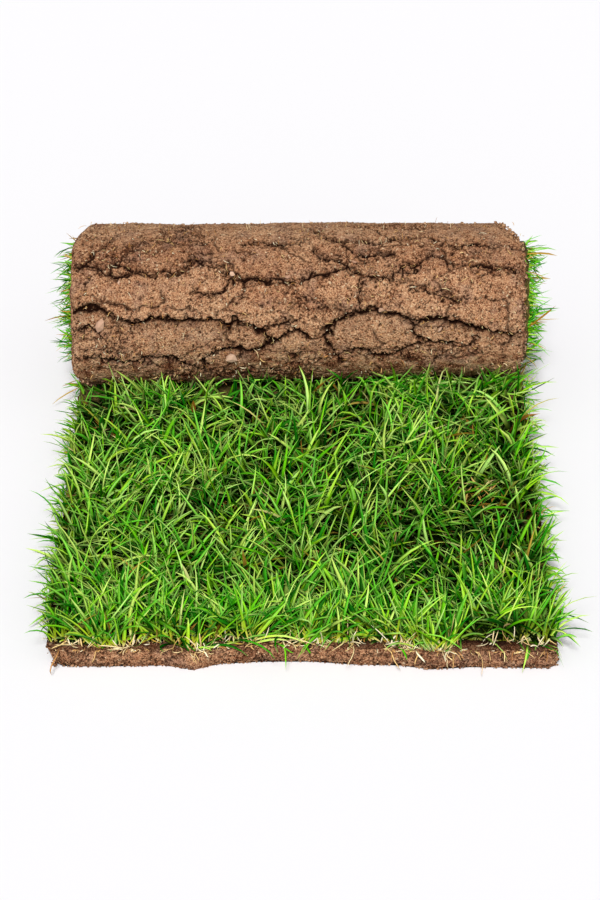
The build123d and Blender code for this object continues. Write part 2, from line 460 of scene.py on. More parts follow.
def cracked(flat, bent, clods, broken, settings):
    """How deep each point sinks in the cracks and its painted shade there and below their lips. broken rises towards
    them.
    """
    middle, beyond, _, border, _ = clods
    sink, crack = np.zeros((2, len(flat)))
    spread = 0.35 + 1.1 * eased(lumps(flat, 12 * MM, 17), -0.7, 0.8)
    reach = 3.2 * settings.clod_size
    for half, depth, line in crack_lines():
        inside = (flat > line.min(axis=0) - reach) & (flat < line.max(axis=0) + reach)
        close = np.flatnonzero(inside.all(axis=1))
        edge = border[close]
        far, side = near_line(bent[close], line)
        far_home, side_home = near_line(middle[close], line)
        far_next, side_next = near_line(beyond[close], line)
        parted = (side_home != side_next) & (np.minimum(far_home, far_next) < 0.75 * settings.clod_size)
        width = half * spread[close] * settings.crack_width
        groove = parted * (1 - eased(edge, 0.35 * width, 1.25 * width + 0.2 * MM))
        groove = np.maximum(groove, 1 - eased(far, 0.30 * width, 0.85 * width + 0.35 * MM))
        # below a crack the face sinks as a recess, which is darkened as a painted shadow under the upper lip
        below = np.where(side_home > 0, np.exp(-edge / (1.8 * half)) * parted, 0)
        below = np.maximum(below, np.where(side > 0, 0.8 * np.exp(-far / (2.6 * half)), 0))
        recess_and_shadow = eased(half, 1.0 * MM, 2.4 * MM) * below
        sink[close] = np.maximum(sink[close], depth * settings.crack_depth * np.maximum(groove, 0.60 * recess_and_shadow))
        # darkness: painted shade in the groove and painted shadow in the recess below it
        crack[close] = np.maximum(crack[close], np.maximum(groove, 0.72 * recess_and_shadow))
        broken[close] = np.maximum(broken[close], np.exp(-far / (7 * MM)))
    return sink, crack


def outer_relief(x, s, settings):
    """How far the soil's outer face stands out, sunk in its cracks, how much painted shade its cracks and pits get, how
    light and how broken it is, at (x, s).
    """
    # clods along the cracks, crumbs everywhere and large plates between fine cracks
    flat = np.stack([x, s], axis=1)
    bent = flat + 1.6 * MM * strays(flat, 9 * MM, 3, 4) + 1.1 * MM * strays(flat, 3.2 * MM, 5, 6)
    clods = pebbled(bent, settings.clod_size, 22)
    _, _, inner, border, mark = clods
    _, _, _, grain_border, grain = pebbled(flat + 0.5 * MM * strays(flat, 2 * MM, 16), settings.crumb_size, 24)
    longwise = (bent + 4 * MM * strays(flat, 20 * MM, 9) + 2 * MM * strays(flat, 6 * MM, 8)) / PLATE_STRETCH
    _, _, _, plate_border, plate = pebbled(longwise, 0.55 * settings.plate_length, 21)
    broken = eased(lumps(flat / BROKEN_STRETCH, 24 * MM, 14), 0.15, 0.85)
    sink, crack = cracked(flat, bent, clods, broken, settings)

    # heights
    stand = MM * layered(flat, FACE_SWELLS) - 1.2 * MM + (plate - 0.5) * 1.1 * MM * eased(plate_border, 0, 5 * MM)
    stand += (0.35 + 0.65 * broken) * MM * (1.3 * grain - 0.2) * eased(grain_border, 0, 0.4 * settings.crumb_size)
    stand += 0.9 * MM * broken * (mark - 0.3) * eased(border, 0, 2.2 * MM)
    hairline = (1 - eased(plate_border, 0.1 * MM, 1.0 * MM)) * eased(lumps(flat, 16 * MM, 18), -0.5, 0.2)
    cleft = (1 - eased(border, 0.1 * MM, 0.75 * MM)) * eased(broken, 0.32, 0.85) * (mark > 0.22)
    pit = (mark < 0.12 + 0.36 * broken) * (1 - eased(inner, 0.5 * MM, 1.5 * MM + 1.2 * MM * mark))
    # hairlines, clefts and pits sink, and are darkened with painted shade
    for flaw, depth, flaw_shade in ((hairline, 1.5 * MM, 0.85), (cleft, 1.6 * MM, 0.9), (pit, 2.4 * MM, 0.9)):
        sink = np.maximum(sink, depth * flaw)
        crack = np.maximum(crack, flaw_shade * flaw)

    # light and dark soil; low on the roll's front it is darker, partly painted shade and partly damper soil
    light = 0.69 + layered(flat, LIGHT_PATCHES) + 0.10 * (plate - 0.5) + 0.10 * (mark - 0.5)
    light += 0.20 * (grain - 0.5) * (0.5 + 0.5 * broken) - 0.08 * broken
    for change, start, end in LIGHT_ALONG:
        light += change * eased(s, start * MM, end * MM)
    light += 0.46 * eased(s, 370 * MM, 390 * MM) * lumps(flat, 6 * MM, 23)
    return stand - sink, np.clip(crack, 0, 1), np.clip(light, 0, 1), broken


def side_relief(points):
    """How far the cut sides and the front face of the strip stand out, how much painted shade their pits and clefts
    get, and how light.
    """
    points = points + 0.6 * MM * strays(points, 2.4 * MM, 47, 48, 49)
    _, _, inner, border, mark = pebbled(points, 4.4 * MM, 41)
    _, _, _, grain_border, grain = pebbled(points, 1.6 * MM, 46)
    stand = 0.5 * MM * eased(border, 0, 1.6 * MM) * (0.2 + 0.8 * mark)
    stand += 0.4 * MM * eased(grain_border, 0, 0.5 * MM) * grain
    stand += MM * layered(points, ((0.6, 9, 42), (0.9, 28, 43))) - 0.8 * MM
    pit = (mark < 0.24) * (1 - eased(inner, 0.5 * MM, 1.6 * MM))
    cleft = (1 - eased(border, 0.1 * MM, 0.7 * MM)) * (mark > 0.72)
    stand -= 1.8 * MM * pit + 1.0 * MM * cleft
    light = 0.50 + 0.18 * (grain - 0.5) + 0.14 * (mark - 0.5) + 0.2 * lumps(points, 14 * MM, 44)
    # pits and clefts sink, and are darkened with painted shade
    return stand, np.maximum(pit, 0.75 * cleft), np.clip(light, 0, 1)


def on_top(s):
    """1 on the roll's top and 0 away from it."""
    return 1 - eased(np.abs(s - 220 * MM), 20 * MM, 70 * MM)


def slow_swell(x, s):
    """How far the roll's outer face bellies out at the lower left and sags at the upper left."""
    low = 5.0 * MM * (-x / HALF_WIDTH) * eased(s, 280 * MM, 420 * MM)
    return low - 1.6 * MM * on_top(s) * eased(-x, 60 * MM, 110 * MM)


def edge_radius(s, side):
    """How far the roll's outer corners are rounded."""
    return 7 * MM + 2.5 * MM * lumps((side * 50 * MM, s), 22 * MM, 51) + 5 * MM * on_top(s)


def end_inset(s, side):
    """How far the roll's side edge has crumbled back: most at the top rear and where the roll meets the grass."""
    top = (9 * MM + 2 * MM * (side > 0)) * (1 - eased(np.abs(s - 212 * MM), 6 * MM, 66 * MM))
    top = top + 3 * MM * (side > 0) * eased(s, 100 * MM, 200 * MM)
    foot = 11 * MM * eased(s, 405 * MM, 462 * MM)
    return top + foot + MM * layered((s, 0 * s + 0.3 * side), ((1.2, 30, 52), (0.8, 9, 53)))


def worn(x, w, radius):
    """Rounds the strip's outer corners: moves (x, w) points in the corners onto a quarter circle."""
    over = np.abs(x) - (HALF_WIDTH - radius)
    under = radius - w
    far = np.hypot(over, under)
    corner = (over > 0) & (under > 0) & (far > radius)
    pull = np.where(corner, radius / np.maximum(far, 1e-9), 1.0)
    x = np.where(corner, np.sign(x) * (HALF_WIDTH - radius + over * pull), x)
    w = np.where(corner, radius - under * pull, w)
    return x, w


def dress_strip(piece, settings):
    """Gives a band of the strip its relief in (x, s, w), stores what the soil's material reads, and winds it up."""
    points = read_points(piece.data)
    x, s, w = points.T
    outer = w < SKIN
    sideways = (np.abs(x) > HALF_WIDTH - SKIN) & ~outer
    radius = edge_radius(s, np.sign(x))
    worn_x, worn_w = worn(x, w, radius)
    in_corner = (worn_x != x) | (worn_w != w)
    stand, crack, light, broken = outer_relief(x, s, settings)
    bulge, side_pit_shade, side_light = side_relief(points)
    over = np.clip((np.abs(worn_x) - (HALF_WIDTH - radius)) / radius, 0, 1)
    share = np.where(in_corner, over, np.where(outer, 0, 1))
    rise = np.where(outer | in_corner, (1 - share) * stand, 0)
    push = np.where(sideways | in_corner, share * bulge, 0)
    inset = end_inset(s, np.sign(x)) * eased(s, 40 * MM, 120 * MM)
    squeeze = 1 - np.maximum(inset, 0) / HALF_WIDTH
    x = (worn_x + np.sign(worn_x) * push) * squeeze - ROLL_SHIFT * eased(s, 0, 250 * MM)
    y, z = on_strip(s, worn_w - rise - slow_swell(worn_x, s) * (1 - worn_w / SOIL_THICKNESS))
    write_points(piece.data, np.stack([x, y, np.maximum(z, 0)], axis=1))
    give(piece.data, crack=np.where(outer, crack, side_pit_shade), light=np.where(outer, light, side_light),
         broken=np.where(outer, broken, SIDE_BROKEN))


# Materials

def linear(colour):
    """A colour written as sRGB hex, in linear light."""
    channels = [int(colour[k:k + 2], 16) / 255 for k in (1, 3, 5)]
    return tuple(c / 12.92 if c <= 0.04045 else ((c + 0.055) / 1.055) ** 2.4 for c in channels) + (1.0,)


def node(tree, kind, settings, output=0):
    """Adds a node and gives back one of its outputs. Each setting names a property or a socket, or is a ramp's
    stops. A socket takes a value, an sRGB hex colour or another node's output."""
    made = tree.nodes.new("ShaderNode" + kind)
    for name, value in settings.items():
        if name == "stops":
            elements = made.color_ramp.elements
            for _ in value[len(elements):]:
                elements.new(0.5)
            for element, (place, colour) in zip(elements, value):
                element.position, element.color = place, linear(colour)
        elif isinstance(name, str) and hasattr(made, name):
            setattr(made, name, value)
        elif isinstance(value, bpy.types.NodeSocket):
            tree.links.new(value, made.inputs[name])
        else:
            made.inputs[name].default_value = linear(value) if isinstance(value, str) else value
    return made.outputs[output]


def painted(owner, output_kind, paint):
    """Gives a material or a world the nodes that paint builds up to its last shader."""
    owner.use_nodes = True
    tree = owner.node_tree
    tree.nodes.clear()
    tree.links.new(paint(tree), tree.nodes.new(output_kind).inputs["Surface"])
    return owner


def material(paint):
    """The material that is named for its paint function, made the first time that it is asked for."""
    kept = bpy.data.materials.get(paint.__name__)
    return kept or painted(bpy.data.materials.new(paint.__name__), "ShaderNodeOutputMaterial", paint)


def scale_for(size_mm):
    """A texture's scale for a pattern of a size."""
    return 1 / (size_mm * MM)


def crumbly_loam(tree):
    """Loam bound by roots: matt crumbs, lighter where it has dried, with painted shade in its cracks and seams."""
    crack, light, broken = (node(tree, "Attribute", {"attribute_name": name}, "Fac")
                            for name in ("crack", "light", "broken"))
    # sizes in mm of the grit, the greyer patches and the seamed ones; real grit is finer, and is drawn as coarse as
    # it needs to show
    place = node(tree, "TexCoord", {}, "Object")
    grit, patches, seamed = (node(tree, "TexNoise", {"Vector": place, "Scale": scale_for(size), "Detail": detail,
                                                     "Roughness": roughness})
                             for size, detail, roughness in ((1.1, 3.0, 0.6), (19, 3.0, 0.6), (6, 2.0, 0.5)))

    # grains, and the seams between the larger ones
    stray = node(tree, "TexNoise", {"Vector": place, "Scale": scale_for(1.1), "Detail": 1.0}, "Color")
    strayed = node(tree, "VectorMath", {"operation": "MULTIPLY_ADD", 0: stray, 1: (1.4 * MM,) * 3, 2: place})
    grains = node(tree, "TexVoronoi", {"Vector": strayed, "Scale": scale_for(1.5)}, "Color")
    seams = node(tree, "TexVoronoi", {"feature": "DISTANCE_TO_EDGE", "Vector": strayed, "Scale": scale_for(3.3)},
                 "Distance")

    # the soil's own colour
    tone = node(tree, "Math", {"operation": "MULTIPLY_ADD", 0: grit, 1: 2.2, 2: -0.94})
    tone = node(tree, "Math", {"operation": "MULTIPLY_ADD", 0: light, 1: 0.80, 2: tone})
    loam = node(tree, "ValToRGB", {"Fac": tone, "stops": [
        (0.05, "#3C190A"), (0.30, "#7A492F"), (0.50, "#AC7A59"), (0.75, "#C6966F"), (1.0, "#DCB48E")]})

    # over it: grey patches, painted shade in the seams, pale and dark grains, and painted shade in the cracks with a
    # grainy edge
    grey = node(tree, "MapRange", {"Value": patches, "From Min": 0.50, "From Max": 0.68, "To Max": 0.36})
    seamed = node(tree, "MapRange", {"Value": seamed, "From Min": 0.44, "From Max": 0.60})
    # painted shade in the seams between grains, stronger where the soil is broken
    gap = node(tree, "MapRange", {"Value": seams, "From Min": 0.03, "From Max": 0.16, "To Min": 1.0, "To Max": 0.0})
    gap = node(tree, "Math", {"operation": "MULTIPLY", 0: gap, 1: seamed})
    seam_shade_weight = node(tree, "Math", {"operation": "MULTIPLY_ADD", 0: broken, 1: 0.45, 2: 0.40})
    gap = node(tree, "Math", {"operation": "MULTIPLY", 0: gap, 1: seam_shade_weight})
    picks = node(tree, "SeparateColor", {"Color": grains}).node.outputs
    pale = node(tree, "Math", {"operation": "GREATER_THAN", 0: picks["Red"], 1: 0.988})
    dark = node(tree, "Math", {"operation": "GREATER_THAN", 0: picks["Green"], 1: 0.86})
    fuzz = node(tree, "Math", {"operation": "MULTIPLY_ADD", 0: grit, 1: 1.2, 2: 0.5})
    for share, by, over in ((grey, 1.0, "#94786A"), (gap, 1.0, "#3C1F10"), (pale, 0.65, "#E4C9A4"),
                            (dark, 0.72, "#40200F"), (crack, fuzz, "#1E0B04")):
        share = node(tree, "Math", {"operation": "MULTIPLY", "use_clamp": True, 0: share, 1: by})
        loam = node(tree, "Mix", {"data_type": "RGBA", "Factor": share, 6: loam, 7: over}, 2)

    # grains that stand out, with finer grit and the seams on them
    coarse = node(tree, "Bump", {"invert": True, "Strength": 0.9, "Distance": 1.0 * MM,
                                 "Height": grains.node.outputs["Distance"]})
    height = node(tree, "Math", {"operation": "MULTIPLY_ADD", 0: gap, 1: -0.5, 2: grit})
    fine = node(tree, "Bump", {"Strength": 1.0, "Distance": 1.5 * MM, "Height": height, "Normal": coarse})
    return node(tree, "BsdfPrincipled", {"Base Color": loam, "Roughness": 0.95, "Specular IOR Level": 0.06,
                                         "Normal": fine})


def living_grass_blade(tree):
    """Living grass: a ribbed, slightly waxy leaf whose pale rib is partly its own colour and partly painted sheen; it
    glows a little where light comes through it.
    """
    tone, along, dry, bared, sunk, ridge, flank, cool = (
        node(tree, "Attribute", {"attribute_name": name}, "Fac")
        for name in ("tone", "along", "dry", "bared", "sunk", "ridge", "flank", "cool"))

    # tone painted lighter high up and darker deep down; greens, stems and straw, each from dark to light
    lit = node(tree, "Math", {"operation": "MULTIPLY_ADD", 0: sunk, 1: -0.22, 2: 0.10})
    tone = node(tree, "Math", {"operation": "ADD", "use_clamp": True, 0: tone, 1: lit})
    green, blue_green, stem, straw = (node(tree, "ValToRGB", {"Fac": tone, "stops": stops}) for stops in (
        [(0.0, "#064A04"), (0.20, "#187A04"), (0.38, "#3EA404"), (0.52, "#64C406"), (0.64, "#7AD018"),
         (0.76, "#9ADC16"), (0.89, "#B6E636"), (1.0, "#D0F06C")],
        [(0.0, "#06480A"), (0.35, "#22921A"), (0.65, "#5ECA38"), (1.0, "#AEE678")],
        [(0.2, "#B57E42"), (0.5, "#DDBB72"), (0.8, "#F4E8BC")],
        [(0.0, "#7E4E1A"), (0.35, "#B5822E"), (0.7, "#D2AC58"), (1.0, "#EAD698")]))

    # over the green: cooler blades, the pale rib with its painted sheen, painted shade on one flank and deep down, the
    # pale sheath and foot, the tip
    hidden = node(tree, "Math", {"operation": "SUBTRACT", 0: 0.99, 1: bared})
    deep_shade = node(tree, "Math", {"operation": "MULTIPLY", "use_clamp": True, 0: sunk, 1: hidden})
    sheath, foot, tip = (
        node(tree, "MapRange", {"Value": along, "From Min": low, "From Max": high, "To Min": at_low, "To Max": at_high})
        for low, high, at_low, at_high in ((0.15, 0.62, 0.9, 0.0), (0.04, 0.28, 0.95, 0.0), (0.82, 1.0, 0.0, 0.40)))
    for share, by, over in ((cool, 1.0, blue_green), (ridge, tone, "#C4F690"), (flank, 0.80, "#063202"),
                            (deep_shade, 1.0, "#0B1404"), (sheath, bared, "#BCCC2A"), (foot, bared, stem),
                            (tip, 1.0, "#CBDC84")):
        share = node(tree, "Math", {"operation": "MULTIPLY", 0: share, 1: by})
        green = node(tree, "Mix", {"data_type": "RGBA", "Factor": share, 6: green, 7: over}, 2)

    # dead blades, with painted shade deep down, and a little light through the leaf
    deep_shade = node(tree, "Math", {"operation": "MULTIPLY", 0: deep_shade, 1: 0.8})
    straw = node(tree, "Mix", {"data_type": "RGBA", "Factor": deep_shade, 6: straw, 7: "#1C1006"}, 2)
    colour = node(tree, "Mix", {"data_type": "RGBA", "Factor": dry, 6: green, 7: straw}, 2)
    leaf = node(tree, "BsdfPrincipled", {"Base Color": colour, "Roughness": 0.5, "Specular IOR Level": 0.0})
    through = node(tree, "BsdfTranslucent", {"Color": colour})
    return node(tree, "MixShader", {0: 0.12, 1: leaf, 2: through})


def dry_root_fibre(tree):
    """Dead roots and stem bases: thin, dull, straw-coloured fibres."""
    tone = node(tree, "Attribute", {"attribute_name": "tone"}, "Fac")
    colour = node(tree, "ValToRGB", {"Fac": tone, "stops": [
        (0.0, "#96582A"), (0.4, "#CC9452"), (0.75, "#EECE8C"), (1.0, "#FFF2CC")]})
    return node(tree, "BsdfPrincipled", {"Base Color": colour, "Roughness": 0.7, "Specular IOR Level": 0.3})


def dusty_field_stone(tree):
    """Small field stones: matt, with a dusty face."""
    place = node(tree, "TexCoord", {}, "Object")
    tone = node(tree, "Attribute", {"attribute_name": "tone"}, "Fac")
    dust = node(tree, "TexNoise", {"Vector": place, "Scale": scale_for(2.2), "Detail": 4.0})
    colour = node(tree, "ValToRGB", {"Fac": tone, "stops": [(0.0, "#946C52"), (0.5, "#B58C72"), (1.0, "#D0AE94")]})
    share = node(tree, "Math", {"operation": "MULTIPLY", 0: dust, 1: 0.35})
    colour = node(tree, "Mix", {"data_type": "RGBA", "Factor": share, 6: colour, 7: "#8A644C"}, 2)
    bump = node(tree, "Bump", {"Strength": 0.4, "Distance": 0.4 * MM, "Height": dust})
    return node(tree, "BsdfPrincipled", {"Base Color": colour, "Roughness": 0.8, "Specular IOR Level": 0.3,
                                         "Normal": bump})


def matted_thatch(tree):
    """Thatch: a felt of dead stems and roots between the soil and the living grass."""
    place = node(tree, "TexCoord", {}, "Object")
    strands = node(tree, "TexNoise", {"Vector": place, "Scale": scale_for(2.4), "Detail": 4.0, "Distortion": 1.5})
    colour = node(tree, "ValToRGB", {"Fac": strands, "stops": [
        (0.3, "#221709"), (0.48, "#4B3A1C"), (0.6, "#5F5A26"), (0.75, "#9A8248")]})
    bump = node(tree, "Bump", {"Strength": 0.8, "Distance": 1.2 * MM, "Height": strands})
    return node(tree, "BsdfPrincipled", {"Base Color": colour, "Roughness": 0.9, "Specular IOR Level": 0.2,
                                         "Normal": bump})


def pale_matt_floor(tree):
    """Painted studio board: pale and quite matt, so that it keeps the turf's shadow."""
    colour = (*bpy.context.scene.turf_stage.floor_colour, 1.0)
    return node(tree, "BsdfPrincipled", {"Base Color": colour, "Roughness": 0.9, "Specular IOR Level": 0.0})


def studio_sky(tree):
    """An even light with a wide softbox behind the camera. The camera and reflections see plain white."""
    settings = bpy.context.scene.turf_stage
    rays = node(tree, "LightPath", {}).node.outputs
    seen = node(tree, "Math", {"operation": "MAXIMUM", 0: rays["Is Glossy Ray"], 1: rays["Is Transmission Ray"]})
    seen = node(tree, "Math", {"operation": "MAXIMUM", 0: rays["Is Camera Ray"], 1: seen})
    way = node(tree, "TexCoord", {}, "Generated")
    facing = node(tree, "VectorMath", {"operation": "DOT_PRODUCT", 0: way, 1: (0, -0.94, 0.34)}, "Value")
    softbox = node(tree, "Math", {"operation": "MAXIMUM", 0: facing, 1: 0.0})
    softbox = node(tree, "Math", {"operation": "POWER", 0: softbox, 1: 1.5})
    strength = node(tree, "Math", {"operation": "MULTIPLY_ADD", 0: softbox, 1: settings.softbox_strength,
                                   2: settings.sky_strength})
    even, white = (node(tree, "Background", {"Color": "#FFFFFF", "Strength": bright}) for bright in (strength, 1.0))
    return node(tree, "MixShader", {0: seen, 1: even, 2: white})


# Grass

def directions(heading, rise):
    """Unit vectors for headings, clockwise from +Y, and angles above the level."""
    return np.stack([np.cos(rise) * np.sin(heading), np.cos(rise) * np.cos(heading), np.sin(rise)], axis=-1)


def clear_of_roll(points, clearance):
    """Pushes points that lie inside the roll out to its face."""
    radius, centre = FRONT_QUARTER[0] + clearance, FRONT_QUARTER[1]
    off_y = points[..., 1] - centre.x
    off_z = points[..., 2] - centre.y
    far = np.hypot(off_y, off_z)
    inside = (far < radius) & (np.abs(points[..., 0]) < HALF_WIDTH + 2 * MM)
    pull = np.where(inside, radius / np.maximum(far, 1e-6), 1.0)
    return np.stack([points[..., 0], centre.x + off_y * pull, centre.y + off_z * pull], axis=-1)


def bend_rods(template, roots, shut=1.0, clearance=None, **measures):
    """Bends each copy of a rod along its own curve. rise and heading turn by arch and sway from root to tip."""
    heading, rise, arch, sway, length, half_width, thickness, fold, twist = (
        np.broadcast_to(measures.get(name, 0.0), len(roots)) for name in ROD_MEASURES)
    points = template[0]
    share = points[:, 2]
    levels = np.unique(np.round(share, 5))
    spine = [roots]
    for low, high in zip(levels[:-1], levels[1:]):
        middle = (low + high) / 2
        way = directions(heading + sway * middle, rise - arch * middle**1.2)
        spine.append(spine[-1] + way * (length * (high - low))[:, None])
    spine = np.stack(spine, axis=1)
    if clearance is not None:
        spine = clear_of_roll(spine, clearance)
    over_soil = (np.abs(spine[..., 0]) < HALF_WIDTH) & (spine[..., 1] > FRONT)
    spine[..., 2] = np.maximum(spine[..., 2], np.where(over_soil, SOIL_THICKNESS + 0.3 * MM, 1.0 * MM))
    spine[..., 1] = np.maximum(spine[..., 1], FRONT - 21 * MM)
    tangent = np.gradient(spine, axis=1)
    tangent /= np.maximum(np.linalg.norm(tangent, axis=2, keepdims=True), 1e-9)
    across = np.stack([np.cos(heading), -np.sin(heading), 0 * heading], axis=1)[:, None, :]
    across = across - tangent * np.sum(across * tangent, axis=2, keepdims=True)
    across /= np.linalg.norm(across, axis=2, keepdims=True)
    turn = (twist[:, None] * levels)[..., None]
    side = across * np.cos(turn) + np.cross(across, tangent) * np.sin(turn)
    face = np.cross(side, tangent)
    level_of = np.searchsorted(levels, np.round(share, 5))
    swell = (0.55 + 0.45 * eased(share, 0, 0.35)) * (1 - shut * share**5)
    swell = np.where(share > 0.999, 0, swell) if shut >= 1 else swell
    reach = half_width[:, None] * swell
    lift = fold[:, None] * np.abs(points[:, 0]) * reach + points[:, 1] * thickness[:, None] / 2 * swell
    placed = spine[:, level_of] + side[:, level_of] * (points[:, 0] * reach)[..., None]
    return placed + face[:, level_of] * lift[..., None]


def patch_strength(roots, patches, height):
    """How strongly each root lies in one of the photograph's patches, from 0 to 1."""
    strength = np.zeros(len(roots))
    for px, py, radius in patches:
        middle = spot_at_height(px, py, height)
        edge = spot_at_height(px + radius, py, height)
        reach = abs(edge.x - middle.x)
        far = np.hypot(roots[:, 0] - middle.x, (roots[:, 1] - middle.y) * 0.75)
        strength = np.maximum(strength, 1 - eased(far, 0.45 * reach, 1.15 * reach))
    return strength


def grass_start(x):
    """Y where the grass starts: in places the soil behind the front cut is bare, most of all at the right."""
    bare = eased(lumps((x, 0 * x), 21 * MM, 65), -0.4, 0.6)
    return front_edge(x) + 2 * MM + (6 * MM + 5 * MM * eased(x, 60 * MM, 110 * MM)) * bare


def tufted_roots(random, tufts, leaves, back):
    """Roots of leaves, gathered in tufts, over the tongue from its front cut to a line at the back."""
    x = random.uniform(-HALF_WIDTH + 1 * MM, HALF_WIDTH - 1 * MM, 3 * tufts)
    low = grass_start(x) + 0.5 * MM
    y = low + (back - low) * random.uniform(0, 1, 3 * tufts)
    crowded = eased(lumps((x, y), 13 * MM, 64), -0.75, 0.35)
    grown = np.flatnonzero(random.uniform(0, 1, 3 * tufts) < 0.12 + 0.88 * crowded)[:tufts]
    tuft = np.repeat(np.arange(len(grown)), leaves)
    spread = random.normal(0, 1.6 * MM, (len(tuft), 2))
    x = np.clip(x[grown][tuft] + spread[:, 0], -HALF_WIDTH + 0.5 * MM, HALF_WIDTH - 0.5 * MM)
    y = np.maximum(y[grown][tuft] + spread[:, 1], grass_start(x))
    return np.stack([x, y, np.full(len(x), SOIL_THICKNESS - 1.5 * MM)], axis=1), tuft


def tongue_blades(random, settings):
    """All that shapes and colours the tongue's blades, as named arrays."""
    nip = FRONT_QUARTER[1].x - 44 * MM
    roots, tuft = tufted_roots(random, settings.tufts, settings.leaves, nip + 14 * MM)
    edge_roots, edge_tuft = tufted_roots(random, settings.tufts // 11, settings.leaves, nip)
    edge_roots[:, 1] = grass_start(edge_roots[:, 0]) + random.uniform(0, 6, len(edge_roots)) * MM
    roots = np.concatenate([roots, edge_roots])
    tuft = np.concatenate([tuft, settings.tufts + edge_tuft])
    tufts, count = tuft.max() + 1, len(roots)
    flat = roots[:, :2]
    x, y = flat.T
    set_back = y - front_edge(x)
    near_side = eased(np.abs(x), HALF_WIDTH - 22 * MM, HALF_WIDTH)
    near_front = 1 - eased(set_back, 1 * MM, 16 * MM)
    near_roll = eased(y, nip - 26 * MM, nip + 4 * MM)
    bare = patch_strength(roots, DRY_PATCHES_PX, 35 * MM)

    # which way it grows: out over the sides, away from the front cut and off the roll
    heading = random.uniform(0, FULL_TURN, tufts)[tuft] + random.normal(0, 1.3, count)
    heading += 0.35 * np.sin(math.pi * lumps(flat, 60 * MM, 61) - heading)
    heading += near_side * 0.25 * np.sin(np.where(x > 0, QUARTER, -QUARTER) - heading)
    forwards = (np.cos(heading) < -0.1) & (random.uniform(0, 1, count) < 0.99 * (set_back < 34 * MM))
    heading = np.where(forwards, math.pi - heading, heading)
    heading += near_roll * 0.7 * np.sin(math.pi - heading)
    rise = np.radians(random.normal(47, 19, count) + 22 * near_side + 10 * near_front + 14 * near_roll)
    rise = np.clip(rise, np.radians(8), np.radians(86))
    arch = np.radians(np.abs(random.normal(48, 32, count)) * (1 - 0.5 * near_front - 0.3 * near_roll))

    # how long and wide it is
    size = 1 + 0.18 * lumps(flat, 34 * MM, 62) - 0.50 * near_side - 0.16 * near_front
    size += near_roll * (0.42 * x / HALF_WIDTH + 0.04)
    length = settings.blade_length * size * random.lognormal(0, 0.25, count)
    room = HALF_WIDTH + 13 * MM * random.lognormal(0, 0.35, count) - np.abs(x)
    spread = np.cos(0.8 * rise) * np.sin(heading) * np.sign(x)
    length = np.where(spread > 0.05, np.minimum(length, room / np.maximum(spread, 0.05)), length)
    length = np.clip(length, 10 * MM, 1.45 * settings.blade_length) * (1 - 0.68 * bare)
    length *= 1 - 0.55 * np.maximum(-np.cos(heading), 0) * near_front
    half_width = settings.blade_width / math.sqrt(3) * random.lognormal(0, 0.28, count) * (1 - 0.25 * near_side)

    # its colour, painted lighter further back to even out the light, which falls most on the front
    tone = 0.56 + 0.14 * lumps(flat, 46 * MM, 63) + 0.08 * eased(y, -190 * MM, -80 * MM)
    tone += random.normal(0, 0.13, tufts)[tuft] + random.normal(0, 0.29, count)
    tone -= 0.18 * patch_strength(roots, DARK_PATCHES_PX, 35 * MM)
    dry = (random.uniform(0, 1, count) < settings.dry_share + 0.7 * bare) * random.uniform(0.3, 1, count)
    bared = np.maximum(1 - eased(set_back, 8 * MM, 16 * MM), 0.9 * near_side)
    return {
        "roots": roots,
        "heading": heading,
        "rise": rise - np.radians(26) * bare,
        "arch": arch,
        "length": length,
        "half_width": np.minimum(half_width, length * 0.06),
        "tone": np.clip(tone, 0, 1),
        "dry": dry,
        "bared": bared * (random.uniform(0, 1, count) < 0.52),
        "sway": random.normal(0, 0.85, count),
        "fold": -random.uniform(0.3, 0.9, count),
        "twist": random.normal(0, 0.8, count),
    }


def grow_blades(name, template, tone, dry=0.0, bared=0.0, clearance=BLADE_CLEARANCE, **shape):
    """One piece of blades. bared tells whose pale feet show, and spares them the painted shade deep in the grass."""
    placed = bend_rods(template, clearance=clearance, **{"thickness": 0.3 * MM, **shape})
    # painted sheen: a few blades get a pale rib, the lighter blades most
    sheen = np.random.default_rng(len(placed)).uniform(0, 1, len(placed))**3
    x, y, z = np.moveaxis(placed, 2, 0)
    # painted shade deep in the grass: the lower parts of blades away from the front cut and sides are darkened
    sheltered = eased(y - front_edge(x), -1 * MM, 9 * MM) * eased(HALF_WIDTH - np.abs(x), -5 * MM, 7 * MM)
    sideways, up, along = template[0].T[:, None]
    # painted shade on one flank of each blade
    piece = joined(name, template, placed, creased=True, tone=tone, dry=dry, bared=bared, along=along,
                   ridge=(up > 0.5) * sheen[:, None], cool=0.7 * (sheen < 0.02), flank=sideways < -0.5,
                   sunk=sheltered * (1 - eased(z - SOIL_THICKNESS, 8 * MM, 29 * MM)))
    return finish_piece(piece, living_grass_blade, "grass")


def grow_fibres(name, slot, tone, **shape):
    """One piece of roots or stems."""
    template = closed_rod(3, 6)
    placed = bend_rods(template, **shape)
    return finish_piece(joined(name, template, placed, tone=np.clip(tone, 0, 1)), dry_root_fibre, slot)


# Sizes and colours that a user would change

